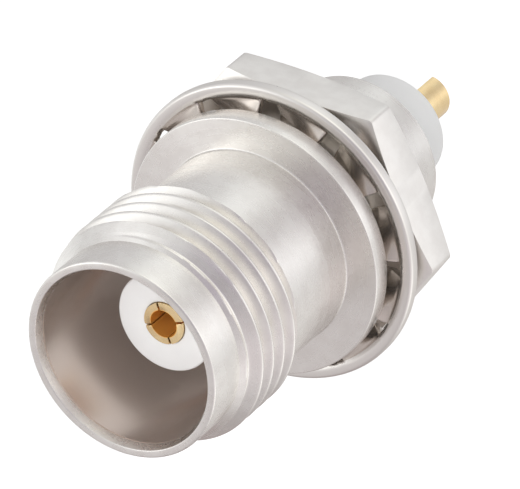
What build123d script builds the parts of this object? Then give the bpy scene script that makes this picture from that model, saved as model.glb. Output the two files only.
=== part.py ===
"""TNC bulkhead connector: a threaded coaxial jack that is clamped in a panel by a nut and a lock washer.

The axis runs along Y. The mouth looks to -Y and the solder cup to +Y. The origin lies on the axis in the
flange's rear face, which is the face that seats on the panel. Sizes are in millimetres and degrees. An
angle about the axis is measured from +X towards +Z.
"""
from build123d import *
from math import cos, pi, radians, sin, sqrt, tan
import os

# Coupling end, from the lip back to the flange
lip_to_panel = 12.23
coupling_thread_diameter = 11.11
coupling_thread_end = 6.45
coupling_thread_front_bevel_angle = 45.0
coupling_thread_rear_bevel = 0.25
coupling_thread_foot_radius = 0.20
nose_step = 0.715
nose_length = 2.07
nose_edge_break = 0.07
lip_flat_width = 0.37
lip_wall = 0.55
mouth_bevel_depth = 0.48
cavity_taper = 0.22
cavity_taper_length = 1.60
cavity_depth = 8.40
neck_step = 0.685
neck_corner_radius = 0.12

# Flange and mounting end
flange_width = 1.56
flange_thickness = 1.00
flange_edge_break = 0.10
barrel_thread_diameter = 9.525
barrel_thread_pitch = 0.794
barrel_length = 6.25
barrel_end_bevel = 0.40
barrel_flat_depth = 0.725
barrel_relief_depth = 0.18
barrel_relief_length = 0.60
sleeve_step = 0.70
sleeve_wall = 0.54
sleeve_length = 2.28
sleeve_edge_break = 0.12

# Insulators
front_insulator_nose_diameter = 4.85
front_insulator_recess = 3.68
rear_insulator_neck_diameter = 5.40
rear_insulator_reach = 3.02
rear_lip_thickness = 1.60
insulator_edge_break = 0.08

# Centre contact
socket_diameter = 2.14
socket_wall = 0.40
socket_bore_depth = 5.20
socket_proud = 0.12
socket_edge_break = 0.10
socket_slot_width = 0.20
socket_slot_length = 4.40
socket_slot_count = 4
socket_slot_angle = 20.0
collar_diameter = 3.40
collar_length = 1.40
collar_setback = 4.20
cup_diameter = 2.22
cup_wall = 0.36
cup_reach = 3.30
cup_bore_depth = 2.60
cup_window_depth = 0.525
cup_window_length = 2.20
cup_window_angle = 139.0

# Lock washer
washer_overhang = 0.78
washer_ring_width = 0.46
washer_thickness = 0.65
washer_edge_bevel = 0.12
tooth_count = 12
tooth_centre_angle = 16.0
tooth_root_width = 2.70
tooth_shoulder_width = 2.40
tooth_tip_width = 1.70
tooth_tip_clearance = 0.21
tooth_twist = 18.0
tooth_twist_length = 0.65

# Hex nut
nut_sides = 6
nut_wall = 1.89
nut_thickness = 2.58
nut_bevel_outset = 0.10
nut_bevel_angle = 30.0
nut_corner_angle = 55.75
nut_bore_bevel = 0.35

# Clearances between neighbouring pieces
slip_fit = 0.02
thread_running_gap = 0.05
washer_side_gap = 0.04

# Radii of the coupling end follow from its thread
coupling_thread_radius = coupling_thread_diameter / 2
nose_radius = coupling_thread_radius - nose_step
mouth_radius = nose_radius - lip_wall
cavity_radius = mouth_radius - cavity_taper
neck_radius = coupling_thread_radius - neck_step
flange_radius = neck_radius + flange_width

# Radii of the mounting end follow from its thread, which is drawn smooth where barrel and nut share the metal
barrel_thread_radius = barrel_thread_diameter / 2
pitch_radius = barrel_thread_radius - 0.3248 * barrel_thread_pitch
barrel_radius = pitch_radius - thread_running_gap / 2
barrel_relief_radius = barrel_radius - barrel_relief_depth
nut_bore_radius = pitch_radius + thread_running_gap / 2
sleeve_radius = barrel_thread_radius - sleeve_step
bore_radius = sleeve_radius - sleeve_wall
insulator_radius = bore_radius - slip_fit
rear_hole_radius = rear_insulator_neck_diameter / 2 + slip_fit

# Stations along Y
panel_y = 0.0
lip_y = panel_y - lip_to_panel
flange_front_y = panel_y - flange_thickness
nose_end_y = lip_y + nose_length
coupling_bevel_length = nose_step / tan(radians(coupling_thread_front_bevel_angle))
coupling_end_y = lip_y + coupling_thread_end
cavity_floor_y = lip_y + cavity_depth
barrel_end_y = panel_y + barrel_length
sleeve_end_y = barrel_end_y + sleeve_length
rear_lip_y = sleeve_end_y - rear_lip_thickness
insulator_face_y = lip_y + front_insulator_recess
insulator_end_y = sleeve_end_y + rear_insulator_reach
socket_tip_y = insulator_face_y - socket_proud
collar_front_y = cavity_floor_y + collar_setback
collar_rear_y = collar_front_y + collar_length
cup_end_y = insulator_end_y + cup_reach

# The washer stands out past the nut's flats, and its twisted teeth reach from the flange to the nut
nut_flat_radius = barrel_thread_radius + nut_wall
washer_radius = nut_flat_radius + washer_overhang
ring_inner_radius = washer_radius - washer_ring_width
tooth_tip_radius = barrel_thread_radius + tooth_tip_clearance
tooth_lean = radians(tooth_twist)
tooth_reach = (tooth_shoulder_width * sin(tooth_lean) + washer_thickness * cos(tooth_lean)) / 2
washer_middle_y = panel_y + washer_side_gap + tooth_reach
nut_front_y = washer_middle_y + tooth_reach + washer_side_gap
nut_rear_y = nut_front_y + nut_thickness

os.makedirs("parts", exist_ok=True)


# Body: one turned piece, open from the mouth to the rear lip
with BuildPart() as body:
    with BuildSketch() as body_half_section:
        with BuildLine():
            Polyline(
                (nose_radius - lip_flat_width, lip_y),
                (nose_radius, lip_y),
                (nose_radius, nose_end_y),
                (coupling_thread_radius, nose_end_y + coupling_bevel_length),
                (coupling_thread_radius, coupling_end_y - coupling_thread_rear_bevel),
                (neck_radius, coupling_end_y),
                (neck_radius, flange_front_y),
                (flange_radius, flange_front_y),
                (flange_radius, panel_y),
                (barrel_relief_radius, panel_y),
                (barrel_relief_radius, panel_y + barrel_relief_length),
                (barrel_radius, panel_y + barrel_relief_length),
                (barrel_radius, barrel_end_y),
                (sleeve_radius, barrel_end_y),
                (sleeve_radius, sleeve_end_y),
                (rear_hole_radius, sleeve_end_y),
                (rear_hole_radius, rear_lip_y),
                (bore_radius, rear_lip_y),
                (bore_radius, cavity_floor_y),
                (cavity_radius, cavity_floor_y),
                (cavity_radius, lip_y + mouth_bevel_depth + cavity_taper_length),
                (mouth_radius, lip_y + mouth_bevel_depth),
                close=True,
            )
        make_face()
        corners = body_half_section.vertices()
        chamfer(corners.sort_by_distance((nose_radius, lip_y))[0], length=nose_edge_break)
        fillet(corners.sort_by_distance((nose_radius, nose_end_y))[0], radius=coupling_thread_foot_radius)
        fillet(corners.sort_by_distance((neck_radius, flange_front_y))[0], radius=neck_corner_radius)
        for rim_y in (flange_front_y, panel_y):
            chamfer(corners.sort_by_distance((flange_radius, rim_y))[0], length=flange_edge_break)
        chamfer(corners.sort_by_distance((barrel_radius, barrel_end_y))[0], length=barrel_end_bevel)
        chamfer(corners.sort_by_distance((sleeve_radius, sleeve_end_y))[0], length=sleeve_edge_break)
    revolve(axis=Axis.Y)
    # A flat along the mounting thread stops the connector from turning in a D-shaped panel hole
    flat_height = barrel_thread_radius - barrel_flat_depth
    with BuildSketch(Plane.XZ.offset(-panel_y)):
        with Locations((0, -flat_height)):
            Rectangle(barrel_thread_diameter, barrel_thread_diameter, align=(Align.CENTER, Align.MAX))
    extrude(amount=-barrel_length, mode=Mode.SUBTRACT)
body.part.label = "body"
export_step(body.part, "parts/body.step")


# Front insulator: a nose in the cavity, a shoulder pressed in the bore and a pocket for the contact's collar
socket_radius = socket_diameter / 2
socket_hole_radius = socket_radius + slip_fit
collar_pocket_radius = collar_diameter / 2 + slip_fit
with BuildPart() as front_insulator:
    with BuildSketch() as front_half_section:
        with BuildLine():
            Polyline(
                (socket_hole_radius, insulator_face_y),
                (front_insulator_nose_diameter / 2, insulator_face_y),
                (front_insulator_nose_diameter / 2, cavity_floor_y),
                (insulator_radius, cavity_floor_y),
                (insulator_radius, collar_rear_y),
                (collar_pocket_radius, collar_rear_y),
                (collar_pocket_radius, collar_front_y),
                (socket_hole_radius, collar_front_y),
                close=True,
            )
        make_face()
        nose_corner = (front_insulator_nose_diameter / 2, insulator_face_y)
        chamfer(front_half_section.vertices().sort_by_distance(nose_corner)[0], length=insulator_edge_break)
    revolve(axis=Axis.Y)
front_insulator.part.label = "front_insulator"
export_step(front_insulator.part, "parts/front_insulator.step")


# Rear insulator: a shoulder behind the rear lip and a neck that stands out of it round the contact
cup_radius = cup_diameter / 2
cup_hole_radius = cup_radius + slip_fit
with BuildPart() as rear_insulator:
    with BuildSketch() as rear_half_section:
        with BuildLine():
            Polyline(
                (cup_hole_radius, collar_rear_y),
                (insulator_radius, collar_rear_y),
                (insulator_radius, rear_lip_y),
                (rear_insulator_neck_diameter / 2, rear_lip_y),
                (rear_insulator_neck_diameter / 2, insulator_end_y),
                (cup_hole_radius, insulator_end_y),
                close=True,
            )
        make_face()
        neck_corner = (rear_insulator_neck_diameter / 2, insulator_end_y)
        chamfer(rear_half_section.vertices().sort_by_distance(neck_corner)[0], length=insulator_edge_break)
    revolve(axis=Axis.Y)
rear_insulator.part.label = "rear_insulator"
export_step(rear_insulator.part, "parts/rear_insulator.step")


# Centre contact: a slotted socket, a collar held between the insulators and a solder cup
socket_bore_radius = socket_radius - socket_wall
cup_bore_radius = cup_radius - cup_wall
with BuildPart() as center_contact:
    with BuildSketch() as contact_half_section:
        with BuildLine():
            Polyline(
                (socket_bore_radius, socket_tip_y),
                (socket_radius, socket_tip_y),
                (socket_radius, collar_front_y),
                (collar_diameter / 2, collar_front_y),
                (collar_diameter / 2, collar_rear_y),
                (cup_radius, collar_rear_y),
                (cup_radius, cup_end_y),
                (cup_bore_radius, cup_end_y),
                (cup_bore_radius, cup_end_y - cup_bore_depth),
                (0, cup_end_y - cup_bore_depth),
                (0, socket_tip_y + socket_bore_depth),
                (socket_bore_radius, socket_tip_y + socket_bore_depth),
                close=True,
            )
        make_face()
        tip_corner = (socket_radius, socket_tip_y)
        chamfer(contact_half_section.vertices().sort_by_distance(tip_corner)[0], length=socket_edge_break)
    revolve(axis=Axis.Y)
    # Slots that let the socket's fingers grip a pin
    with BuildSketch(Plane.XZ.offset(-socket_tip_y)):
        with PolarLocations(0, socket_slot_count, start_angle=socket_slot_angle):
            Rectangle(socket_diameter, socket_slot_width, align=(Align.MIN, Align.CENTER))
    extrude(amount=-socket_slot_length, mode=Mode.SUBTRACT)
    # The cup is cut open on one side so that a wire can be laid in and soldered
    with BuildSketch(Plane.XZ.offset(-cup_end_y)):
        with PolarLocations(cup_radius - cup_window_depth, 1, start_angle=cup_window_angle):
            Rectangle(cup_diameter, cup_diameter, align=(Align.MIN, Align.CENTER))
    extrude(amount=cup_window_length, mode=Mode.SUBTRACT)
center_contact.part.label = "center_contact"
export_step(center_contact.part, "parts/center_contact.step")


# Lock washer: a thin ring whose inner teeth are twisted, so that their corners bite into flange and nut.
# The tooth is built along +X with its front towards +Z, and the ring's own plane places each copy.
tooth_root_radius = sqrt(ring_inner_radius**2 - (tooth_root_width / 2) ** 2)
tooth_sections = (
    (ring_inner_radius + washer_ring_width / 2, tooth_root_width, 0.0),
    (tooth_root_radius, tooth_root_width, 0.0),
    (tooth_root_radius - tooth_twist_length, tooth_shoulder_width, tooth_twist),
    (tooth_tip_radius, tooth_tip_width, tooth_twist),
)
with BuildPart() as tooth:
    for radius, width, twist in tooth_sections:
        across = (0, cos(radians(twist)), -sin(radians(twist)))
        with BuildSketch(Plane(origin=(radius, 0, 0), x_dir=across, z_dir=(1, 0, 0))):
            Rectangle(width, washer_thickness)
    loft(ruled=True)

washer_plane = Plane.XZ.offset(-washer_middle_y)
with BuildPart(washer_plane) as lock_washer:
    with BuildSketch(washer_plane):
        Circle(washer_radius)
        Circle(ring_inner_radius, mode=Mode.SUBTRACT)
    extrude(amount=washer_thickness / 2, both=True)
    rim_edges = lock_washer.edges().filter_by(GeomType.CIRCLE).group_by(SortBy.RADIUS)[-1]
    chamfer(rim_edges, length=washer_edge_bevel)
    with PolarLocations(0, tooth_count, start_angle=tooth_centre_angle):
        add(tooth.part)
lock_washer.part.label = "lock_washer"
export_step(lock_washer.part, "parts/lock_washer.step")


# Hex nut: both faces are turned down to a cone, which leaves the curved edges on its flats
nut_corner_radius = nut_flat_radius / cos(pi / nut_sides)
bevel_radius = nut_flat_radius + nut_bevel_outset
bevel_drop = (nut_corner_radius - bevel_radius) * tan(radians(nut_bevel_angle))
with BuildPart() as hex_nut:
    with BuildSketch(Plane.XZ.offset(-nut_front_y)):
        RegularPolygon(nut_flat_radius, nut_sides, major_radius=False, rotation=nut_corner_angle)
    extrude(amount=-nut_thickness)
    with BuildSketch():
        with BuildLine():
            Polyline(
                (0, nut_front_y),
                (bevel_radius, nut_front_y),
                (nut_corner_radius, nut_front_y + bevel_drop),
                (nut_corner_radius, nut_rear_y - bevel_drop),
                (bevel_radius, nut_rear_y),
                (0, nut_rear_y),
                close=True,
            )
        make_face()
    revolve(axis=Axis.Y, mode=Mode.INTERSECT)
    with BuildSketch() as bore_half_section:
        with BuildLine():
            Polyline(
                (0, nut_front_y),
                (nut_bore_radius + nut_bore_bevel, nut_front_y),
                (nut_bore_radius, nut_front_y + nut_bore_bevel),
                (nut_bore_radius, nut_rear_y - nut_bore_bevel),
                (nut_bore_radius + nut_bore_bevel, nut_rear_y),
                (0, nut_rear_y),
                close=True,
            )
        make_face()
    revolve(axis=Axis.Y, mode=Mode.SUBTRACT)
hex_nut.part.label = "hex_nut"
export_step(hex_nut.part, "parts/hex_nut.step")
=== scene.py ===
"""The looks of a TNC bulkhead connector: its six pieces, their finishes and a small light tent.

The connector's axis runs along Y, with the mouth towards -Y. An angle about the axis is measured from +X
towards +Z. Every piece stands for one packed part, in its place. Where the sizes below differ from the
packed part's, they follow the photo more closely.
"""

from collections import namedtuple
from math import acos, asin, atan2, cos, pi, radians, sin, sqrt, tan

import bmesh
import bpy
from bpy.props import FloatProperty, FloatVectorProperty, IntProperty, PointerProperty
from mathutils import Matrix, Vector


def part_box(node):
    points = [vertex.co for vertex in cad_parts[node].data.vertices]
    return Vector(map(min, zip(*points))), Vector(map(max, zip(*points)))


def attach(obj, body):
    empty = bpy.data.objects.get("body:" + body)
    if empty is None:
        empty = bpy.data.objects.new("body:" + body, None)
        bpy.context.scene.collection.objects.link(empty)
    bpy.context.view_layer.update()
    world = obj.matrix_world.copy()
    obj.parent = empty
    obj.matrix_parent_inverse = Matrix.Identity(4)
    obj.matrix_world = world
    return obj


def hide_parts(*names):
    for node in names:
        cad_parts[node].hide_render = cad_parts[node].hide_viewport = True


bl_info = {
    "name": "TNC Bulkhead Connector",
    "version": (1, 0, 0),
    "blender": (4, 5, 0),
    "location": "View3D > Sidebar > Connector",
    "description": "Builds a threaded coaxial jack with its lock washer, nut, insulators and contact",
    "category": "Add Mesh",
}

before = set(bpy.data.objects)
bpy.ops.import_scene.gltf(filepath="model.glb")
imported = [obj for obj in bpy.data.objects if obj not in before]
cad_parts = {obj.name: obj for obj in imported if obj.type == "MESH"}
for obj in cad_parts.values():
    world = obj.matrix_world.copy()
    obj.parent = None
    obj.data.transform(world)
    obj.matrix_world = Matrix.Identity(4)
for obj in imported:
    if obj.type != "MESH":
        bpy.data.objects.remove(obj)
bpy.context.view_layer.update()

MM = 0.001
MERGE_DISTANCE = 0.0004 * MM
EDGE_SLACK = 0.01 * MM
FIT_GAP = 0.02 * MM
COLUMNS = 240
SHARP_ANGLE = radians(38)
SQUARE_ANGLE = radians(60)
HEX_EDGE_ANGLE = radians(20)

# Shares of a thread's pitch: its flat crest, and the depths of the two threads
CREST_SHARE = 1 / 8
COUPLING_DEPTH = 0.60
BARREL_DEPTH = 0.6134

# How far the roughness of the plating strays with its marks and with its patches
UNEVEN_GLOSS = 0.10

COLLECTION = bpy.context.scene.collection

BODY_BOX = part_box("body")
FRONT_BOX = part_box("front_insulator")
REAR_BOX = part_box("rear_insulator")
CONTACT_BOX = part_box("center_contact")
WASHER_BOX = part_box("lock_washer")
NUT_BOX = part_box("hex_nut")


# Property helpers

def length(description, default):
    """A length property with its default in millimetres."""
    return FloatProperty(description=description, default=default * MM, min=0.0, precision=6,
                         unit="LENGTH", subtype="DISTANCE")


def turn(description, default):
    """An angle property with its default in degrees."""
    return FloatProperty(description=description, default=radians(default), unit="ROTATION",
                         subtype="ANGLE")


def colour(description, default):
    return FloatVectorProperty(description=description, default=default, size=3, min=0.0, max=1.0,
                               subtype="COLOR")


def share(description, default):
    return FloatProperty(description=description, default=default, min=0.0, max=1.0, subtype="FACTOR")


def label_of(key):
    return key.replace("_", " ").title()


class ShellSizes(bpy.types.PropertyGroup):
    """Sizes of the turned body."""

    nose_radius: length("Outside of the smooth nose at the mouth", 4.84)
    nose_length: length("From the lip to the foot of the coupling thread", 2.07)
    lip_flat: length("Width of the flat ring at the lip", 0.37)
    mouth_radius: length("Where the bevel inside the lip ends", 4.29)
    mouth_bevel: length("Depth of the bevel inside the lip", 0.48)
    cavity_radius: length("Inside of the cavity behind its taper", 4.07)
    cavity_taper: length("Length of the taper behind the bevel", 4.60)
    cavity_depth: length("From the lip to the cavity's floor", 8.40)
    bore_radius: length("Bore that holds the insulators", 3.5225)
    coupling_radius: length("Crests of the coupling thread", 5.555)
    coupling_pitch: length("From crest to crest of the coupling thread", 0.907)
    coupling_end: length("From the lip to the end of the coupling thread", 6.45)
    coupling_phase: length("From the lip to a crest, at the angle 0", 4.726)
    neck_radius: length("Smooth neck between thread and flange", 4.87)
    flange_thickness: length("Thickness of the flange", 1.00)
    barrel_radius: length("Crests of the mounting thread", 4.7625)
    barrel_pitch: length("From crest to crest of the mounting thread", 0.794)
    barrel_length: length("From the flange to the end of the mounting thread", 6.25)
    barrel_flat_depth: length("Depth of the flat along the mounting thread", 0.725)
    relief_radius: length("Groove between flange and mounting thread", 4.30)
    relief_length: length("Length of that groove", 0.60)
    sleeve_radius: length("Smooth sleeve behind the mounting thread", 4.0625)
    rear_lip: length("Thickness of the lip that holds the rear insulator", 1.60)


class InsulatorSizes(bpy.types.PropertyGroup):
    """Sizes of the two insulators."""

    nose_radius: length("Nose that stands in the mouth", 2.425)
    neck_radius: length("Neck that stands out at the rear", 2.70)
    collar_length: length("Length of the pocket for the contact's collar", 1.40)
    collar_radius: length("Radius of the pocket for the contact's collar", 1.72)
    edge_rounding: length("Rounding of the cut edges", 0.10)


class ContactSizes(bpy.types.PropertyGroup):
    """Sizes of the centre contact."""

    socket_radius: length("Outside of the slotted socket", 1.01)
    socket_bore: length("Radius of the socket's bore", 0.67)
    socket_depth: length("Depth of the socket's bore", 5.20)
    slot_width: length("Width of a slot", 0.07)
    slot_length: length("Length of a slot", 4.40)
    slot_angle: turn("Angle of the first slot", 20.0)
    slots: IntProperty(description="Number of slots", default=4, min=2, max=8)
    cup_radius: length("Outside of the solder cup", 1.11)
    cup_bore: length("Radius of the cup's bore", 0.75)
    cup_depth: length("Depth of the cup's bore", 2.60)
    window_height: length("From the axis to the flat that opens the cup", 0.585)
    window_length: length("Length of that flat", 2.20)
    window_angle: turn("Side on which the cup is open", 139.0)
    finger_rounding: length("Rounding of the fingers' tips", 0.07)
    cup_rounding: length("Rounding of the cup's open edge", 0.03)


class WasherSizes(bpy.types.PropertyGroup):
    """Sizes of the lock washer."""

    ring_width: length("Width of the plain ring", 0.68)
    thickness: length("Thickness of the sheet", 0.65)
    rim_rounding: length("Rounding of the ring's outer edges", 0.30)
    edge_rounding: length("Rounding of the stamped edges", 0.09)
    teeth: IntProperty(description="Number of teeth", default=12, min=4, max=24)
    tooth_angle: turn("Angle of the first tooth's middle", 16.0)
    root_width: length("Width of a tooth at the ring", 2.70)
    shoulder_width: length("Width of a tooth where its twist ends", 2.40)
    tip_width: length("Width of a tooth at its tip", 1.70)
    tip_radius: length("From the axis to a tooth's tip", 4.975)
    twist: turn("How far each tooth is twisted", 18.0)
    tooth_share: share("Thickness of a tooth as a share of the ring's", 0.66)
    twist_length: length("Length over which a tooth takes its twist", 0.65)


class NutSizes(bpy.types.PropertyGroup):
    """Sizes of the hex nut."""

    front_gap: length("How far its front face stands behind the packed nut's", 0.36)
    flat_radius: length("From the axis to a flat", 6.5725)
    bevel_radius: length("Where the bevel of a face starts", 6.5925)
    bevel_angle: turn("Slope of the bevels", 18.0)
    corner_angle: turn("Angle of a corner", 55.75)
    bore_bevel: length("Bevel at both ends of the thread", 0.35)
    thread_clearance: length("Gap between nut and barrel thread", 0.03)
    root_radius: length("Inner edge of the nut's thread", 4.36)
    corner_rounding: length("Rounding between two flats", 0.25)
    edge_rounding: length("Rounding of the outer edges", 0.05)


class FinishColours(bpy.types.PropertyGroup):
    """Colours of the finishes, with the painted shade inside the mouth, on the washer's teeth and inside
    the socket.
    """

    plating: colour("Warm grey plating of the metal pieces", (0.86, 0.835, 0.80))
    plating_shade: colour("Darker blotches in the plating", (0.81, 0.78, 0.745))
    gold: colour("Gold plating of the contact", (0.97, 0.77, 0.44))
    gold_shade: colour("Redder blotches in the gold", (0.90, 0.68, 0.37))
    # Painted shade: a browner colour for the metal inside the mouth, where the cavity lies in shade
    bore: colour("Browner metal inside the mouth", (0.78, 0.69, 0.63))
    # Painted shade: a browner colour for the washer's teeth, which lie in shade between the flange and the
    # nut
    tooth_shade: colour("Browner metal of the washer's teeth", (0.62, 0.56, 0.51))
    # Painted shade: a deep orange for the gold inside the socket's bore, where it lies in shade
    gold_bore: colour("Deep orange inside the socket", (0.90, 0.46, 0.10))
    insulator: colour("White of the insulators", (0.86, 0.855, 0.85))
    plating_roughness: share("Roughness of the plated metal", 0.27)


class StageSettings(bpy.types.PropertyGroup):
    """Floor, light tent and camera."""

    camera_place: FloatVectorProperty(description="Where the camera stands", size=3, unit="LENGTH",
                                      default=(0.13941, -0.23130, 0.16359), subtype="TRANSLATION")
    camera_aim: FloatVectorProperty(description="Where the camera looks", size=3, subtype="XYZ",
                                    default=(-0.4418, 0.7317, -0.5190))
    lens: FloatProperty(description="Focal length of the camera in millimetres", default=484.6,
                        min=10.0, unit="CAMERA")
    floor_drop: length("From the axis down to the floor", 30.0)
    floor_colour: colour("Colour of the pale floor", (0.92, 0.92, 0.92))
    floor_lift: share("Light that the floor adds for the camera alone", 0.35)
    tent_radius: length("Radius of the light tent", 240.0)
    tent_grey: colour("Light that the tent's cloth gives by itself", (0.36, 0.36, 0.36))
    world_light: share("Strength of the world's light on the object", 0.55)


# Mesh helpers

def polar(radius, y, angle):
    """A point at an angle about the connector's axis."""
    return Vector((radius * cos(angle), y, radius * sin(angle)))


def spaced(start, end, steps):
    """Evenly spaced values, from start to end."""
    return [start + (end - start) * i / steps for i in range(steps + 1)]


def rounded(corners, steps=4):
    """The outline through corners (radius, y, rounding), with an arc in place of each rounded corner."""
    points = []
    for i, (radius, y, rounding) in enumerate(corners):
        here = Vector((radius, y))
        if rounding == 0 or i in (0, len(corners) - 1):
            points.append(here)
            continue
        before = (Vector(corners[i - 1][:2]) - here).normalized()
        after = (Vector(corners[i + 1][:2]) - here).normalized()
        half = before.angle(after) / 2
        cut = rounding / tan(half)
        middle = here + (before + after).normalized() * (rounding / sin(half))
        arm = here + before * cut - middle
        sweep = arm.angle_signed(here + after * cut - middle)
        for bend in spaced(0.0, -sweep, steps):
            points.append(middle + Vector((arm.x * cos(bend) - arm.y * sin(bend),
                                           arm.x * sin(bend) + arm.y * cos(bend))))
    return points


def skin(bm, rings, closed=True):
    """Faces between each ring of points and the next. A ring of one point is a pole."""
    made = [[bm.verts.new(point) for point in ring] for ring in rings]
    for near, far in zip(made, made[1:]):
        count = max(len(near), len(far))
        for i in range(count if closed else count - 1):
            k = (i + 1) % count
            corners = [near[i % len(near)], near[k % len(near)], far[k % len(far)], far[i % len(far)]]
            unique = list(dict.fromkeys(corners))
            bm.faces.new(unique)


def lathe(bm, outline, columns=COLUMNS):
    """Turns an outline of (radius, y) points about the axis."""
    angles = spaced(0.0, 2 * pi, columns)[:-1]
    skin(bm, [[polar(radius, y, a) for a in angles] if radius > 0 else [Vector((0, y, 0))]
              for radius, y in outline])


def merge(bm):
    bmesh.ops.remove_doubles(bm, verts=bm.verts, dist=MERGE_DISTANCE)
    bmesh.ops.dissolve_degenerate(bm, dist=MERGE_DISTANCE, edges=bm.edges)
    bmesh.ops.recalc_face_normals(bm, faces=bm.faces)


def round_edges(bm, edges, size, segments=3):
    bmesh.ops.bevel(bm, geom=edges, offset=size, segments=segments, profile=0.5, affect="EDGES",
                    clamp_overlap=True)


def to_mesh(name, bm):
    """Turns a finished bmesh into a mesh."""
    mesh = bpy.data.meshes.new(name)
    bm.to_mesh(mesh)
    bm.free()
    return mesh


def take_mesh(bm, mesh):
    """Moves what a mesh holds into a bmesh."""
    bm.from_mesh(mesh)
    bpy.data.meshes.remove(mesh)


def add_object(name, data):
    made = bpy.data.objects.new(name, data)
    COLLECTION.objects.link(made)
    return made


def baked(name, mesh, modify):
    """The mesh that an object has once modify has given it a modifier."""
    holder = add_object(name + "_holder", mesh)
    modify(holder)
    graph = bpy.context.evaluated_depsgraph_get()
    result = bpy.data.meshes.new_from_object(holder.evaluated_get(graph))
    bpy.data.objects.remove(holder)
    bpy.data.meshes.remove(mesh)
    result.name = name
    return result


def add_weighted_normals(holder):
    """Flat faces stay flat in shading next to their rounded edges."""
    modifier = holder.modifiers.new("Weighted Normals", "WEIGHTED_NORMAL")
    modifier.keep_sharp = True
    modifier.weight = 80


def add_piece(name, bm, material, body, nodes):
    """Makes the finished piece, which rides on a body and stands for packed nodes."""
    merge(bm)
    mesh = to_mesh(name, bm)
    mesh.materials.append(material)
    mesh.shade_smooth()
    mesh.set_sharp_from_angle(angle=SHARP_ANGLE)
    piece = add_object(name, baked(name, mesh, add_weighted_normals))
    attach(piece, body)
    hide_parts(*nodes)


# Node helpers

def plug(tree, value, socket):
    """Links a field or another socket to a socket, or sets it to a plain value."""
    if isinstance(value, Field):
        tree.links.new(value.socket, socket)
    elif isinstance(value, bpy.types.NodeSocket):
        tree.links.new(value, socket)
    else:
        socket.default_value = value


def set_inputs(tree, node, inputs):
    """Inputs are a mapping from a socket's name or number to its value."""
    for key, value in dict(inputs).items():
        plug(tree, value, node.inputs[key])


def add_node(tree, kind, inputs=(), **settings):
    node = tree.nodes.new(kind)
    for key, value in settings.items():
        setattr(node, key, value)
    set_inputs(tree, node, inputs)
    return node


def output_of(tree, kind, inputs=(), **settings):
    """The first output of a new node."""
    return add_node(tree, kind, inputs, **settings).outputs[0]


class Field:
    """A number in a node tree. Arithmetic on it adds Math nodes, so that a formula reads as one."""

    def __init__(self, tree, socket):
        self.tree = tree
        self.socket = socket

    def math(self, operation, *others):
        node = self.tree.nodes.new("ShaderNodeMath")
        node.operation = operation
        for value, socket in zip((self, *others), node.inputs):
            plug(self.tree, value, socket)
        return Field(self.tree, node.outputs[0])

    def __add__(self, other):
        return self.math("ADD", other)

    def __sub__(self, other):
        return self.math("SUBTRACT", other)

    def __mul__(self, other):
        return self.math("MULTIPLY", other)

    def __truediv__(self, other):
        return self.math("DIVIDE", other)

    def below(self, other):
        return self.math("MINIMUM", other)

    def above(self, other):
        return self.math("MAXIMUM", other)


def once(name):
    """Makes a node tree only at its first call. Later calls find it by its name."""

    def wrap(make):
        return lambda: bpy.data.node_groups.get(name) or make(name)

    return wrap


def new_tree(name, kind, inputs, outputs):
    """A node group. Inputs are defaults by name, or a kind of socket where there is no default.

    Returns the tree, its inputs as fields and its output node.
    """
    kinds = {int: "NodeSocketInt", float: "NodeSocketFloat"}
    tree = bpy.data.node_groups.new(name, kind)
    for label, default in inputs.items():
        socket = kinds.get(type(default), default)
        made = tree.interface.new_socket(name=label, in_out="INPUT", socket_type=socket)
        if socket != default:
            made.default_value = default
    for label, socket in outputs.items():
        tree.interface.new_socket(name=label, in_out="OUTPUT", socket_type=socket)
    source = tree.nodes.new("NodeGroupInput")
    sink = tree.nodes.new("NodeGroupOutput")
    return tree, {label: Field(tree, source.outputs[label]) for label in inputs}, sink


def run_nodes(mesh, tree, values):
    """The mesh that a geometry node tree makes with these values."""

    def modify(holder):
        modifier = holder.modifiers.new(tree.name, "NODES")
        modifier.node_group = tree
        for item in tree.interface.items_tree:
            if item.item_type == "SOCKET" and item.in_out == "INPUT" and item.name in values:
                modifier[item.identifier] = values[item.name]

    return baked(tree.name, mesh, modify)


def from_axis(tree, point):
    """Distance of a point from the connector's axis, and its place along it."""
    split = add_node(tree, "ShaderNodeSeparateXYZ", {"Vector": point})
    x, y, z = (Field(tree, split.outputs[i]) for i in range(3))
    return (x * x + z * z).math("SQRT"), y


# Geometry node trees

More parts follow.
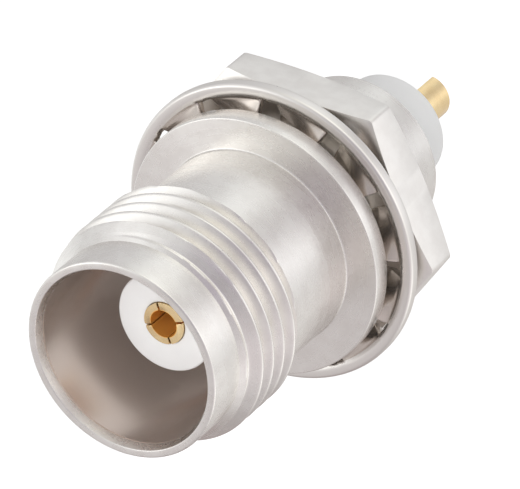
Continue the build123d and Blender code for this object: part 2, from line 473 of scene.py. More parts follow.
@once("Helical Thread")
def thread_tree(name):
    """A helical thread as an open tube, whose rows follow the helix and stop at both ends.

    A cone cuts it at either end. Side is 1 for an outer thread and -1 for an inner one.
    """
    tree, given, sink = new_tree(name, "GeometryNodeTree", {
        "Rows Per Turn": 24, "Start": 0.0, "End": 4.0 * MM, "Pitch": 0.9 * MM, "Crest Place": 0.0,
        "Crest Radius": 5.0 * MM, "Root Radius": 4.5 * MM, "Rounding": 0.05 * MM,
        "Start Radius": 4.5 * MM, "Start Slope": 1.0, "End Radius": 4.5 * MM, "End Slope": 1.0,
        "Side": 1.0}, {"Geometry": "NodeSocketGeometry"})
    start, end, pitch, side = (given[label] for label in ("Start", "End", "Pitch", "Side"))
    rows = ((end - start + pitch) / pitch * given["Rows Per Turn"]).math("CEIL")
    grid = output_of(tree, "GeometryNodeMeshGrid", {
        "Size X": 1.0, "Size Y": 1.0, "Vertices X": COLUMNS + 1, "Vertices Y": rows + 1})
    place = output_of(tree, "GeometryNodeInputPosition")
    split = add_node(tree, "ShaderNodeSeparateXYZ", {"Vector": place})
    turned = Field(tree, split.outputs["X"]) + 0.5
    row = (Field(tree, split.outputs["Y"]) + 0.5) * rows
    unrolled = row * pitch / given["Rows Per Turn"] + start
    y = (unrolled - turned * pitch).above(start).below(end)
    # Distance along the axis from the nearest crest, and the 60 degree flank that it gives
    phase = ((unrolled - given["Crest Place"]) / pitch + 0.5).math("FRACT") - 0.5
    away = phase.math("ABSOLUTE") - CREST_SHARE / 2
    flank = given["Crest Radius"] - away * pitch * sqrt(3)
    wave = flank.math("SMOOTH_MAX", given["Root Radius"], given["Rounding"])
    wave = wave.math("SMOOTH_MIN", given["Crest Radius"], given["Rounding"])
    start_cone = given["Start Radius"] + (y - start) * given["Start Slope"] * side
    end_cone = given["End Radius"] + (end - y) * given["End Slope"] * side
    radius = (wave * side).below(start_cone * side).below(end_cone * side) * side
    angle = turned * (2 * pi)
    point = output_of(tree, "ShaderNodeCombineXYZ", {
        "X": radius * angle.math("COSINE"), "Y": y, "Z": radius * angle.math("SINE")})
    moved = output_of(tree, "GeometryNodeSetPosition", {"Geometry": grid, "Position": point})
    plug(tree, joined(tree, moved), sink.inputs[0])
    return tree


def joined(tree, geometry):
    return output_of(tree, "GeometryNodeMergeByDistance", {
        "Geometry": geometry, "Distance": MERGE_DISTANCE})


@once("Sectors in a Ring")
def ring_tree(name):
    """Copies one sector of a washer round the axis and joins the copies into one ring."""
    tree, given, sink = new_tree(name, "GeometryNodeTree", {
        "Geometry": "NodeSocketGeometry", "Count": 12, "First Angle": 0.0},
        {"Geometry": "NodeSocketGeometry"})
    points = output_of(tree, "GeometryNodePoints", {"Count": given["Count"]})
    index = Field(tree, output_of(tree, "GeometryNodeInputIndex"))
    angle = index / given["Count"] * (2 * pi) + given["First Angle"]
    turned = output_of(tree, "ShaderNodeCombineXYZ", {"Y": angle * -1})
    placed = output_of(tree, "GeometryNodeInstanceOnPoints", {
        "Points": points, "Instance": given["Geometry"], "Rotation": turned})
    real = output_of(tree, "GeometryNodeRealizeInstances", {"Geometry": placed})
    plug(tree, joined(tree, real), sink.inputs[0])
    return tree


def add_thread(bm, **values):
    """Adds a thread's tube to a piece. The values bear the names of the tree's inputs."""
    named = {label_of(key): value for key, value in values.items()}
    take_mesh(bm, run_nodes(bpy.data.meshes.new("empty"), thread_tree(), named))


# Shader node groups

def noise(tree, vector, scale, detail, roughness, **settings):
    return output_of(tree, "ShaderNodeTexNoise", {
        "Vector": vector, "Scale": scale, "Detail": detail, "Roughness": roughness}, **settings)


@once("Turning Marks")
def turning_marks(name):
    """Fine rings that a lathe tool leaves, on cylinders and on faces alike."""
    real = "NodeSocketFloat"
    tree, given, sink = new_tree(name, "ShaderNodeTree", {
        "Vector": "NodeSocketVector", "Rings per Metre": 20000.0}, {"Rings": real, "Bands": real})
    radius, y = from_axis(tree, given["Vector"])
    section = output_of(tree, "ShaderNodeCombineXYZ", {"X": radius, "Y": y})
    scale, bands_per_ring = given["Rings per Metre"], 0.12
    set_inputs(tree, sink, {
        "Rings": noise(tree, section, scale, 2.0, 0.6, noise_dimensions="2D"),
        "Bands": noise(tree, section, scale * bands_per_ring, 1.0, 0.5, noise_dimensions="2D")})
    return tree


@once("Satin Plating")
def satin_plating(name):
    """Cloudy patches and fine grain of a satin plating."""
    real = "NodeSocketFloat"
    tree, given, sink = new_tree(name, "ShaderNodeTree", {
        "Vector": "NodeSocketVector", "Patch Scale": 1400.0, "Grain Scale": 12000.0},
        {"Patches": real, "Grain": real})
    set_inputs(tree, sink, {
        "Patches": noise(tree, given["Vector"], given["Patch Scale"], 3.0, 0.55),
        "Grain": noise(tree, given["Vector"], given["Grain Scale"], 2.0, 0.6)})
    return tree


def start_material(name):
    """A material with its principled shader, and the object coordinates that its patterns use."""
    material = bpy.data.materials.new(name)
    material.use_nodes = True
    tree = material.node_tree
    shader = tree.nodes["Principled BSDF"]
    place = add_node(tree, "ShaderNodeTexCoord").outputs["Object"]
    return material, tree, shader, place


def add_group(tree, group, inputs):
    """The outputs of a node group, by name."""
    node = add_node(tree, "ShaderNodeGroup", node_tree=group)
    set_inputs(tree, node, inputs)
    return {socket.name: Field(tree, socket) for socket in node.outputs}


def bump(tree, height, distance, **inputs):
    return output_of(tree, "ShaderNodeBump", {
        "Height": height, "Strength": 1.0, "Distance": distance, **inputs})


def mix(tree, factor, low, high):
    return add_node(tree, "ShaderNodeMix", {"Factor": factor, "A": low, "B": high},
                    data_type="RGBA").outputs["Result"]


def blend(tree, factor, low, high):
    """A colour between two, by a factor that is stretched round its middle."""
    stretched = output_of(tree, "ShaderNodeMapRange", {
        "Value": factor, "From Min": 0.35, "From Max": 0.65})
    return mix(tree, stretched, (*low, 1.0), (*high, 1.0))


# Painted shade in a recess of a piece: its colour and a lower metallic, within a radius of the axis and in
# front of a place along it
PaintedShade = namedtuple("PaintedShade", "colour radius rear metallic")


def plated_material(name, light, dark, roughness, painted_shade, ring_scale, ring_depth, grain_depth,
                    stretch=0.0):
    """Satin plated metal, with turning marks, cloudy patches, a fine grain and painted shade in a recess.

    Stretch draws reflections out across the turning marks.
    """
    _, tree, shader, place = start_material(name)
    marks = add_group(tree, turning_marks(), {"Vector": place, "Rings per Metre": ring_scale})
    plating = add_group(tree, satin_plating(), {"Vector": place})
    if stretch:
        set_inputs(tree, shader, {
            "Tangent": output_of(tree, "ShaderNodeTangent", direction_type="RADIAL", axis="Y"),
            "Anisotropic": stretch, "Anisotropic Rotation": 0.25})
    radius, y = from_axis(tree, place)
    # Painted shade: within the recess the plating's colour gives way to the shade's colour, less metallic
    # and without marks or grain
    within = radius.math("LESS_THAN", painted_shade.radius) * y.math("LESS_THAN", painted_shade.rear)
    outside = within * -1 + 1.0
    metal = blend(tree, plating["Patches"], dark, light)
    uneven = (marks["Bands"] - 0.5) * UNEVEN_GLOSS + (plating["Patches"] - 0.5) * UNEVEN_GLOSS
    set_inputs(tree, shader, {
        "Base Color": mix(tree, within, metal, (*painted_shade.colour, 1.0)),
        "Metallic": outside * (1.0 - painted_shade.metallic) + painted_shade.metallic,
        "Roughness": uneven * outside + roughness,
        "Normal": bump(tree, plating["Grain"] * outside, grain_depth,
                       Normal=bump(tree, marks["Rings"] * outside, ring_depth))})


def insulator_material(name, white):
    """Waxy white fluoroplastic with a faint mottle."""
    _, tree, shader, place = start_material(name)
    plating = add_group(tree, satin_plating(), {"Vector": place, "Patch Scale": 500.0})
    shade, waxiness, uneven = [channel * 0.97 for channel in white], 0.42, 0.2
    set_inputs(tree, shader, {
        "Base Color": blend(tree, plating["Patches"], shade, white),
        "Roughness": (plating["Patches"] - 0.5) * uneven + waxiness,
        "Normal": bump(tree, plating["Grain"], 0.002 * MM),
        "Subsurface Weight": 0.25,
        "Subsurface Radius": (1.0, 1.0, 1.0),
        "Subsurface Scale": 0.4 * MM})


def finishes():
    """The connector's materials by name, made once."""
    if "turned_plating" in bpy.data.materials:
        return bpy.data.materials
    colours = bpy.context.scene.connector_colours
    light, dark, rough = colours.plating, colours.plating_shade, colours.plating_roughness
    # Painted shade inside the mouth's cavity, in front of the cavity's floor
    mouth = PaintedShade(colours.bore, radius=4.32 * MM, rear=BODY_BOX[0].y + 8.5 * MM, metallic=0.85)
    # Painted shade on the washer's teeth and the inner edge of its ring
    teeth = PaintedShade(colours.tooth_shade, radius=6.82 * MM, rear=WASHER_BOX[1].y, metallic=0.95)
    # Painted shade inside the contact's socket
    socket = PaintedShade(colours.gold_bore, radius=0.70 * MM, rear=CONTACT_BOX[0].y + 5.3 * MM, metallic=0.4)
    plated_material("turned_plating", light, dark, rough, mouth, ring_scale=24000.0,
                    ring_depth=0.0014 * MM, grain_depth=0.0010 * MM, stretch=0.6)
    plated_material("stamped_plating", dark, dark, rough, teeth, ring_scale=6000.0,
                    ring_depth=0.0006 * MM, grain_depth=0.0010 * MM)
    plated_material("nut_plating", light, dark, rough + 0.06, mouth, ring_scale=9000.0,
                    ring_depth=0.0010 * MM, grain_depth=0.0018 * MM)
    plated_material("gold_plating", colours.gold, colours.gold_shade, 0.22, socket,
                    ring_scale=20000.0, ring_depth=0.0010 * MM, grain_depth=0.0006 * MM)
    insulator_material("white_fluoroplastic", colours.insulator)
    return bpy.data.materials


# Pieces

def build_body(sizes):
    """The turned body, with both threads and the flat along its barrel."""
    lip, sleeve_end = BODY_BOX[0].y, BODY_BOX[1].y
    flange_radius = BODY_BOX[1].x
    fine = 0.05 * MM
    nose_end = lip + sizes.nose_length
    coupling_end = lip + sizes.coupling_end
    cavity_floor = lip + sizes.cavity_depth
    rear_hole = bpy.context.scene.connector_insulators.neck_radius + FIT_GAP
    bm = bmesh.new()
    lathe(bm, rounded([
        (sizes.nose_radius, nose_end, 0),
        (sizes.nose_radius, lip, 0.10 * MM),
        (sizes.nose_radius - sizes.lip_flat, lip, fine),
        (sizes.mouth_radius, lip + sizes.mouth_bevel, 0.03 * MM),
        (sizes.cavity_radius, lip + sizes.mouth_bevel + sizes.cavity_taper, 2.0 * MM),
        (sizes.cavity_radius, cavity_floor, fine),
        (sizes.bore_radius, cavity_floor, fine),
        (sizes.bore_radius, sleeve_end - sizes.rear_lip, 0),
        (rear_hole, sleeve_end - sizes.rear_lip, 0),
        (rear_hole, sleeve_end, fine),
        (sizes.sleeve_radius, sleeve_end, 0.12 * MM),
        (sizes.sleeve_radius, sizes.barrel_length, fine),
        (sizes.relief_radius, sizes.barrel_length, 0),
    ]))
    lathe(bm, rounded([
        (sizes.neck_radius, coupling_end, 0),
        (sizes.neck_radius, -sizes.flange_thickness, 0.08 * MM),
        (flange_radius, -sizes.flange_thickness, 0.06 * MM),
        (flange_radius, 0.0, 0.10 * MM),
        (sizes.relief_radius, 0.0, fine),
        (sizes.relief_radius, sizes.relief_length, 0),
    ]))
    coupling_rise, run_out = sizes.coupling_radius - sizes.neck_radius, 0.25 * MM
    add_thread(bm, start=nose_end, end=coupling_end, pitch=sizes.coupling_pitch,
               crest_place=lip + sizes.coupling_phase, crest_radius=sizes.coupling_radius,
               root_radius=sizes.coupling_radius - COUPLING_DEPTH * sizes.coupling_pitch,
               rounding=0.09 * MM, start_radius=sizes.nose_radius, end_radius=sizes.neck_radius,
               end_slope=coupling_rise / run_out)
    add_thread(bm, start=sizes.relief_length, end=sizes.barrel_length, pitch=sizes.barrel_pitch,
               rows_per_turn=16, crest_radius=sizes.barrel_radius,
               root_radius=sizes.barrel_radius - BARREL_DEPTH * sizes.barrel_pitch,
               rounding=0.04 * MM, start_radius=sizes.relief_radius, end_radius=sizes.relief_radius)
    merge(bm)
    flat_height = sizes.barrel_radius - sizes.barrel_flat_depth
    for vert in bm.verts:
        outside = vert.co.xz.length > sizes.bore_radius + fine
        if outside and -MERGE_DISTANCE < vert.co.y < sizes.barrel_length + MERGE_DISTANCE:
            vert.co.z = max(vert.co.z, -flat_height)
    add_piece("shell", bm, finishes()["turned_plating"], "shell", ["body"])


def build_insulators(sizes):
    """The front insulator with its nose, and the rear one with its neck."""
    material = finishes()["white_fluoroplastic"]
    shell = bpy.context.scene.connector_shell
    contact = bpy.context.scene.connector_contact
    shoulder = FRONT_BOX[1].x
    face, split = FRONT_BOX[0].y, FRONT_BOX[1].y
    cavity_floor = BODY_BOX[0].y + shell.cavity_depth
    socket_hole = contact.socket_radius + FIT_GAP
    edge = sizes.edge_rounding
    front = bmesh.new()
    lathe(front, rounded([
        (socket_hole, face + edge, 0),
        (socket_hole, face, edge / 2),
        (sizes.nose_radius, face, edge),
        (sizes.nose_radius, cavity_floor, 0),
        (shoulder, cavity_floor, edge / 2),
        (shoulder, split, 0),
        (sizes.collar_radius, split, 0),
        (sizes.collar_radius, split - sizes.collar_length, 0),
        (socket_hole, split - sizes.collar_length, 0),
        (socket_hole, face + edge, 0),
    ]))
    add_piece("front_insulator_turned", front, material, "shell", ["front_insulator"])
    rear_end = REAR_BOX[1].y
    rear_lip = BODY_BOX[1].y - shell.rear_lip
    cup_hole = contact.cup_radius + FIT_GAP
    rear = bmesh.new()
    lathe(rear, rounded([
        (cup_hole, split, 0),
        (shoulder, split, 0),
        (shoulder, rear_lip, 0),
        (sizes.neck_radius, rear_lip, 0),
        (sizes.neck_radius, rear_end, edge),
        (cup_hole, rear_end, edge / 2),
        (cup_hole, rear_end - 2 * edge, 0),
        (cup_hole, split, 0),
    ]))
    add_piece("rear_insulator_turned", rear, material, "shell", ["rear_insulator"])


def arc_points(radius, start, end, steps):
    """Points (x, z) on an arc about the axis."""
    return [(radius * cos(angle), radius * sin(angle)) for angle in spaced(start, end, steps)]


def prism(bm, outline, low, high, rounding, rounded_end):
    """A closed outline of (x, z) points drawn out along Y, with the edges round one end softened."""
    part = bmesh.new()
    near, far = ([part.verts.new((x, y, z)) for x, z in outline] for y in (low, high))
    part.faces.new(near)
    part.faces.new(list(reversed(far)))
    count = len(outline)
    for i in range(count):
        k = (i + 1) % count
        part.faces.new([near[i], near[k], far[k], far[i]])
    end_verts = set(near if rounded_end == "low" else far)
    round_edges(part, [e for e in part.edges if end_verts.issuperset(e.verts)], rounding)
    bmesh.ops.recalc_face_normals(part, faces=part.faces)
    take_mesh(bm, to_mesh("prism", part))


def build_contact(sizes):
    """The gold contact: slotted fingers, shank with collar and open solder cup."""
    tip, cup_end = CONTACT_BOX[0].y, CONTACT_BOX[1].y
    collar_rear = FRONT_BOX[1].y
    collar_front = collar_rear - bpy.context.scene.connector_insulators.collar_length
    collar_radius = CONTACT_BOX[1].x
    slot_end = tip + sizes.slot_length
    window_start = cup_end - sizes.window_length
    sunk = 0.01 * MM
    bm = bmesh.new()
    lathe(bm, rounded([
        (0, tip + sizes.socket_depth, 0),
        (sizes.socket_bore, tip + sizes.socket_depth, 0),
        (sizes.socket_bore, slot_end, 0),
        (sizes.socket_radius, slot_end, 0),
        (sizes.socket_radius, collar_front, 0),
        (collar_radius, collar_front, 0),
        (collar_radius, collar_rear, 0),
        (sizes.cup_radius, collar_rear, 0),
        (sizes.cup_radius, window_start, 0.02 * MM),
        (sizes.cup_bore, window_start, 0.02 * MM),
        (sizes.cup_bore, cup_end - sizes.cup_depth, 0),
        (0, cup_end - sizes.cup_depth, 0),
    ]), columns=96)
    half_outer = asin(sizes.slot_width / 2 / sizes.socket_radius)
    half_inner = asin(sizes.slot_width / 2 / sizes.socket_bore)
    for finger in range(sizes.slots):
        start = sizes.slot_angle + 2 * pi * finger / sizes.slots
        end = start + 2 * pi / sizes.slots
        outline = arc_points(sizes.socket_radius, start + half_outer, end - half_outer, 24)
        outline += arc_points(sizes.socket_bore, end - half_inner, start + half_inner, 24)
        prism(bm, outline, tip, slot_end + sunk, sizes.finger_rounding, "low")
    outer_half = acos(sizes.window_height / sizes.cup_radius)
    inner_half = acos(sizes.window_height / sizes.cup_bore)
    around = 2 * pi + sizes.window_angle
    outline = arc_points(sizes.cup_radius, sizes.window_angle + outer_half, around - outer_half, 60)
    outline += arc_points(sizes.cup_bore, around - inner_half, sizes.window_angle + inner_half, 60)
    prism(bm, outline, window_start - sunk, cup_end, sizes.cup_rounding, "high")
    add_piece("gold_contact", bm, finishes()["gold_plating"], "shell", ["center_contact"])


def washer_sector(sizes):
    """One flat tooth with its stretch of the ring. It is centred on +X and open where the next joins."""
    rim = WASHER_BOX[1].x
    middle = (WASHER_BOX[0].y + WASHER_BOX[1].y) / 2
    faces = (middle - sizes.thickness / 2, middle + sizes.thickness / 2)
    inner = rim - sizes.ring_width
    half_sector = pi / sizes.teeth
    half_root = asin(sizes.root_width / 2 / inner)
    root_line = inner * cos(half_root)
    shoulder = root_line - sizes.twist_length
    gap_left = spaced(-half_sector, -half_root, 4)[:-1]
    gap_right = [-a for a in reversed(gap_left)]
    tooth = spaced(-half_root, half_root, 20)
    ring_radii = spaced(inner, rim, 4)
    tab_radii = spaced(inner, sizes.tip_radius, 26)
    bm = bmesh.new()

    def quads(rows):
        made = [[bm.verts.new(point) for point in row] for row in rows]
        for near, far in zip(made, made[1:]):
            for i in range(len(near) - 1):
                bm.faces.new([near[i], near[i + 1], far[i + 1], far[i]])

    def sheet(rows):
        """Both faces of a patch whose rows are lists of (radius, angle)."""
        for y in faces:
            quads([[polar(r, y, a) for r, a in row] for row in rows])

    def wall(points):
        """The edge of the sheet along a line of (radius, angle)."""
        quads([[polar(r, y, a) for r, a in points] for y in faces])

    def half_width(radius):
        """Half the angle that a tooth spans at a radius."""
        if radius > shoulder:
            outer, narrow, wide = inner, shoulder, sizes.root_width
            change = sizes.shoulder_width - sizes.root_width
        else:
            outer, narrow, wide = shoulder, sizes.tip_radius, sizes.shoulder_width
            change = sizes.tip_width - sizes.shoulder_width
        width = wide + change * (outer - radius) / (outer - narrow)
        return asin(width / 2 / radius)

    all_angles = gap_left + tooth + gap_right
    sheet([[(r, a) for a in all_angles] for r in ring_radii])
    sheet([[(r, half_width(r) * a / half_root) for a in tooth] for r in tab_radii])
    wall([(rim, a) for a in all_angles])
    wall([(inner, a) for a in gap_left + [tooth[0]]])
    wall([(inner, a) for a in [tooth[-1]] + gap_right])
    wall([(sizes.tip_radius, half_width(sizes.tip_radius) * a / half_root) for a in tooth])
    for side in (-1, 1):
        wall([(r, side * half_width(r)) for r in tab_radii])
    bmesh.ops.remove_doubles(bm, verts=bm.verts, dist=MERGE_DISTANCE)
    return to_mesh("sector", bm), inner, root_line, middle


def build_washer(sizes):
    """The lock washer: a flat ring of teeth is rounded at its edges, and then each tooth is twisted."""
    rim = WASHER_BOX[1].x
    sector, inner, root_line, middle = washer_sector(sizes)
    bm = bmesh.new()
    take_mesh(bm, run_nodes(sector, ring_tree(), {"Count": sizes.teeth, "First Angle": sizes.tooth_angle}))
    merge(bm)

    def square_edges(at_rim):
        """The square edges along both faces of the sheet, either at the rim or everywhere else."""
        return [e for e in bm.edges if e.calc_face_angle(0.0) > SQUARE_ANGLE
                and abs(e.verts[0].co.y - e.verts[1].co.y) < MERGE_DISTANCE
                and (e.verts[0].co.xz.length > rim - EDGE_SLACK) == at_rim]

    round_edges(bm, square_edges(False), sizes.edge_rounding, segments=2)
    round_edges(bm, square_edges(True), sizes.rim_rounding, segments=4)
    step = 2 * pi / sizes.teeth
    for vert in bm.verts:
        angle = vert.co.xz.angle_signed(Vector((1, 0)))
        centre = sizes.tooth_angle + round((angle - sizes.tooth_angle) / step) * step
        radius = vert.co.xz.length
        along, across = radius * cos(angle - centre), radius * sin(angle - centre)
        # The sheet grows from a tooth's thickness to the ring's within the inner third of the ring
        rise = min(1.0, max(0.0, (radius - inner) / sizes.ring_width * 3))
        thickness = sizes.tooth_share + (1 - sizes.tooth_share) * sin(rise * pi / 2)
        lift = (vert.co.y - middle) * thickness
        bend = sizes.twist * min(1.0, max(0.0, (root_line - along) / sizes.twist_length))
        across, lift = across * cos(bend) - lift * sin(bend), across * sin(bend) + lift * cos(bend)
        vert.co = Vector((along * cos(centre) - across * sin(centre), middle + lift,
                          along * sin(centre) + across * cos(centre)))
    add_piece("toothed_washer", bm, finishes()["stamped_plating"], "washer", ["lock_washer"])


def hexagon(sizes):
    """Radius and angle of each column round the nut, with an arc in place of each corner."""
    arc_steps = 6
    side_steps = COLUMNS // 6 - arc_steps
    reach = (sizes.flat_radius - sizes.corner_rounding) * tan(pi / 6)
    arc_middle = (sizes.flat_radius - sizes.corner_rounding) / cos(pi / 6)
    outline = []
    for side in range(6):
        corner = sizes.corner_angle + side * pi / 3
        for bend in spaced(-pi / 6, pi / 6, arc_steps)[:-1]:
            along = arc_middle + sizes.corner_rounding * cos(bend)
            across = sizes.corner_rounding * sin(bend)
            outline.append((sqrt(along ** 2 + across ** 2), corner + across / along))
        for across in spaced(-reach, reach, side_steps)[:-1]:
            outline.append((sqrt(sizes.flat_radius ** 2 + across ** 2),
                            corner + pi / 6 + atan2(across, sizes.flat_radius)))
    return outline


def build_nut(sizes):
    """The hex nut: six flats cut by a cone at both faces, and its thread."""
    shell = bpy.context.scene.connector_shell
    front, rear = NUT_BOX[0].y + sizes.front_gap, NUT_BOX[1].y
    rings = [[] for _ in range(4)]
    columns = hexagon(sizes)
    for radius, angle in columns:
        drop = max(0.0, (radius - sizes.bevel_radius) * tan(sizes.bevel_angle))
        face_radius = min(radius, sizes.bevel_radius)
        for ring, r, y in zip(rings, (face_radius, radius, radius, face_radius),
                              (front, front + drop, rear - drop, rear)):
            ring.append(polar(r, y, angle))
    bm = bmesh.new()
    skin(bm, rings)
    merge(bm)
    round_edges(bm, [e for e in bm.edges if len(e.link_faces) == 2
                     and e.calc_face_angle(0.0) > HEX_EDGE_ANGLE], sizes.edge_rounding)
    mouth_radius = sizes.root_radius + sizes.bore_bevel
    # The faces reach in to the columns of the thread, each from the column nearest to it
    first = round(columns[0][1] / (2 * pi / COLUMNS))
    for y, outer in ((front, rings[0]), (rear, rings[3])):
        skin(bm, [outer, [polar(mouth_radius, y, (first + i) * 2 * pi / COLUMNS)
                          for i in range(COLUMNS)]])
    add_thread(bm, start=front, end=rear, pitch=shell.barrel_pitch, rows_per_turn=16, side=-1.0,
               crest_radius=shell.barrel_radius + sizes.thread_clearance,
               root_radius=sizes.root_radius, rounding=0.04 * MM, start_radius=mouth_radius,
               end_radius=mouth_radius)
    add_piece("threaded_nut", bm, finishes()["nut_plating"], "nut", ["hex_nut"])


# Stage

def build_world(settings):
    """White to the camera, to reflections and through glass, and a plain soft light on the object."""
    world = bpy.data.worlds.new("studio")
    world.use_nodes = True
    tree = world.node_tree
    tree.nodes.clear()
    white, soft = (output_of(tree, "ShaderNodeBackground", {"Color": (1, 1, 1, 1), "Strength": strength})
                   for strength in (1.0, settings.world_light))
    path = add_node(tree, "ShaderNodeLightPath")
    camera, glossy, through = (Field(tree, path.outputs[name]) for name in (
        "Is Camera Ray", "Is Glossy Ray", "Is Transmission Ray"))
    mixed = output_of(tree, "ShaderNodeMixShader", {
        0: camera.above(glossy).above(through), 1: soft, 2: white})
    add_node(tree, "ShaderNodeOutputWorld", {0: mixed})
    bpy.context.scene.world = world


def build_floor(settings):
    """A pale floor. The camera sees it as white as the background, with the object's shadow on it."""
    half = 3.0
    bm = bmesh.new()
    bm.faces.new([bm.verts.new((x * half, y * half, -settings.floor_drop))
                  for x, y in ((-1, -1), (1, -1), (1, 1), (-1, 1))])
    mesh = to_mesh("floor", bm)
    material, tree, shader, _ = start_material("pale_floor")
    seen = Field(tree, add_node(tree, "ShaderNodeLightPath").outputs["Is Camera Ray"])
    set_inputs(tree, shader, {
        "Base Color": (*settings.floor_colour, 1.0), "Roughness": 0.9, "Specular IOR Level": 0.1,
        "Emission Color": (1.0, 1.0, 1.0, 1.0), "Emission Strength": seen * settings.floor_lift})
    mesh.materials.append(material)
    floor = add_object("floor", mesh)
    floor.visible_glossy = False


# Middle of each soft panel as seen from the connector, its spread in degrees and its light
TENT_PANELS = (
    ((0.673, 0.73, 0.119), 20.0, (0.58, 0.59, 0.62)),
    ((0.439, 0.73, 0.524), 20.0, (0.04, 0.02, 0.04)),
    ((-0.06, 0.73, 0.681), 20.0, (0.50, 0.52, 0.54)),
    ((-0.524, 0.73, 0.439), 20.0, (0.22, 0.22, 0.23)),
    ((-0.681, 0.73, -0.06), 20.0, (0.16, 0.15, 0.15)),
    ((-0.439, 0.73, -0.524), 20.0, (0.13, 0.11, 0.10)),
    ((0.06, 0.73, -0.681), 20.0, (0.32, 0.30, 0.29)),
    ((0.524, 0.73, -0.439), 20.0, (0.23, 0.22, 0.22)),
    ((0.935, 0.1, 0.34), 28.0, (1.15, 1.14, 1.13)),
    ((0.173, 0.1, 0.98), 28.0, (1.04, 1.05, 0.98)),
    ((-0.762, 0.1, 0.64), 28.0, (0.36, 0.35, 0.38)),
    ((-0.935, 0.1, -0.34), 28.0, (0.72, 0.74, 0.75)),
    ((-0.173, 0.1, -0.98), 28.0, (0.06, 0.00, 0.00)),
    ((0.762, 0.1, -0.64), 28.0, (0.98, 0.98, 0.97)),
    ((0.459, -0.7, 0.547), 30.0, (0.08, 0.04, 0.11)),
    ((-0.547, -0.7, 0.459), 30.0, (0.80, 0.82, 0.83)),
    ((-0.459, -0.7, -0.547), 30.0, (0.31, 0.28, 0.29)),
    ((0.547, -0.7, -0.459), 30.0, (0.43, 0.38, 0.41)),
    ((0.0, 1.0, 0.0), 20.0, (0.66, 0.69, 0.68)),
    ((-0.68, -0.73, 0.0), 14.0, (1.30, 1.32, 1.30)),
)


def build_tent(settings):
    """The tent's cloth, seen only in reflections: soft panels of light on a grey ground."""
    bm = bmesh.new()
    bmesh.ops.create_uvsphere(bm, u_segments=48, v_segments=24, radius=settings.tent_radius)
    bmesh.ops.reverse_faces(bm, faces=bm.faces)
    mesh = to_mesh("tent", bm)
    material = bpy.data.materials.new("tent_cloth")
    material.use_nodes = True
    tree = material.node_tree
    tree.nodes.clear()
    place = add_node(tree, "ShaderNodeTexCoord").outputs["Object"]
    direction = output_of(tree, "ShaderNodeVectorMath", {0: place}, operation="NORMALIZE")
    light = tuple(settings.tent_grey)
    for panel, spread, panel_light in TENT_PANELS:
        toward = Field(tree, add_node(tree, "ShaderNodeVectorMath", {
            0: direction, 1: tuple(Vector(panel).normalized())},
            operation="DOT_PRODUCT").outputs["Value"])
        # A soft lobe that falls to a third at its spread from the panel's middle
        lobe = ((toward - 1.0) / (1.0 - cos(radians(spread)))).math("EXPONENT")
        glow = output_of(tree, "ShaderNodeVectorMath", {0: panel_light, "Scale": lobe}, operation="SCALE")
        light = output_of(tree, "ShaderNodeVectorMath", {0: glow, 1: light})
    glow = output_of(tree, "ShaderNodeEmission", {"Color": light, "Strength": 1.0})
    add_node(tree, "ShaderNodeOutputMaterial", {0: glow})
    mesh.materials.append(material)
    tent = add_object("tent", mesh)
    tent.visible_camera = False
    tent.visible_diffuse = False
    tent.visible_shadow = False
    tent.visible_transmission = False


def aim(holder, place, direction):
    """Puts a lamp or camera at a place, looking along a direction."""
    holder.location = place
    holder.rotation_euler = direction.to_track_quat("-Z", "Y").to_euler()


# Place and power of each lamp
LAMPS = {
    "key_lamp": ((0.26, 0.10, 0.34), 0.35),
    "fill_lamp": ((0.04, -0.38, 0.18), 1.0),
}
LAMP_WIDTH = 0.35


def build_lamps():
    """Two large soft lamps, which give the white insulators their shading."""
    for name, (place, power) in LAMPS.items():
        lamp = bpy.data.lights.new(name, "AREA")
        lamp.shape = "DISK"
        lamp.size = LAMP_WIDTH
        lamp.energy = power
        holder = add_object(name, lamp)
        aim(holder, place, -Vector(place))
        holder.visible_camera = False
        holder.visible_glossy = False


def build_camera(settings):
    camera = bpy.data.cameras.new("camera")
    camera.lens = settings.lens
    camera.sensor_width = 36.0
    camera.clip_start = 0.01
    camera.clip_end = 10.0
    holder = add_object("camera", camera)
    aim(holder, settings.camera_place, Vector(settings.camera_aim))
    bpy.context.scene.camera = holder


def build_stage(settings):
    build_world(settings)
    build_floor(settings)
    build_tent(settings)
    build_lamps()
    build_camera(settings)
    bpy.context.scene.view_settings.view_transform = "Standard"


# Operators and panel

class Maker:
    """What the operators share: each one runs its build function on its own settings."""

    def execute(self, context):
        self.build(getattr(context.scene, self.settings))
        return {"FINISHED"}


class CONNECTOR_OT_body(Maker, bpy.types.Operator):
    """Make the turned body with its two threads"""

    bl_idname = "connector.body"
    bl_label = "Body"
    settings = "connector_shell"
    build = staticmethod(build_body)


class CONNECTOR_OT_insulators(Maker, bpy.types.Operator):
    """Make the two white insulators"""

    bl_idname = "connector.insulators"
    bl_label = "Insulators"
    settings = "connector_insulators"
    build = staticmethod(build_insulators)


class CONNECTOR_OT_contact(Maker, bpy.types.Operator):
    """Make the gold centre contact with its slotted socket and solder cup"""

    bl_idname = "connector.contact"
    bl_label = "Centre Contact"
    settings = "connector_contact"
    build = staticmethod(build_contact)


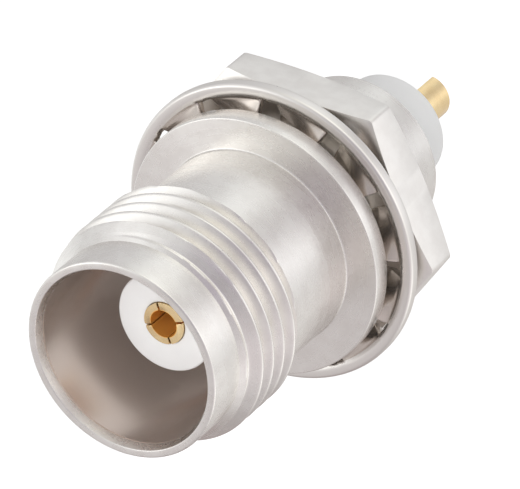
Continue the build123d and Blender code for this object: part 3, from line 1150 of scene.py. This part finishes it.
class CONNECTOR_OT_washer(Maker, bpy.types.Operator):
    """Make the lock washer with its twisted teeth"""

    bl_idname = "connector.washer"
    bl_label = "Lock Washer"
    settings = "connector_washer"
    build = staticmethod(build_washer)


class CONNECTOR_OT_nut(Maker, bpy.types.Operator):
    """Make the threaded hex nut"""

    bl_idname = "connector.nut"
    bl_label = "Hex Nut"
    settings = "connector_nut"
    build = staticmethod(build_nut)


class CONNECTOR_OT_stage(Maker, bpy.types.Operator):
    """Make the floor, the light tent, the lamps and the camera"""

    bl_idname = "connector.stage"
    bl_label = "Stage"
    settings = "connector_stage"
    build = staticmethod(build_stage)


OPERATORS = (
    CONNECTOR_OT_body,
    CONNECTOR_OT_insulators,
    CONNECTOR_OT_contact,
    CONNECTOR_OT_washer,
    CONNECTOR_OT_nut,
    CONNECTOR_OT_stage,
)

SETTINGS = {
    "connector_shell": ShellSizes,
    "connector_insulators": InsulatorSizes,
    "connector_contact": ContactSizes,
    "connector_washer": WasherSizes,
    "connector_nut": NutSizes,
    "connector_colours": FinishColours,
    "connector_stage": StageSettings,
}


class CONNECTOR_PT_panel(bpy.types.Panel):
    """Lists the connector's pieces and their sizes."""

    bl_idname = "CONNECTOR_PT_panel"
    bl_label = "Connector"
    bl_space_type = "VIEW_3D"
    bl_region_type = "UI"
    bl_category = "Connector"

    def draw(self, context):
        for operator in OPERATORS:
            self.layout.operator(operator.bl_idname)
        for name, group in SETTINGS.items():
            box = self.layout.box()
            box.label(text=group.__doc__)
            for key in group.__annotations__:
                box.prop(getattr(context.scene, name), key, text=label_of(key))


CLASSES = (*SETTINGS.values(), *OPERATORS, CONNECTOR_PT_panel)


def register():
    for group in CLASSES:
        bpy.utils.register_class(group)
    for name, group in SETTINGS.items():
        setattr(bpy.types.Scene, name, PointerProperty(type=group))


def unregister():
    for name in SETTINGS:
        delattr(bpy.types.Scene, name)
    for group in reversed(CLASSES):
        bpy.utils.unregister_class(group)


def main():
    register()
    for operator in OPERATORS:
        getattr(bpy.ops.connector, operator.bl_idname.split(".")[1])()


if __name__ == "__main__":
    main()
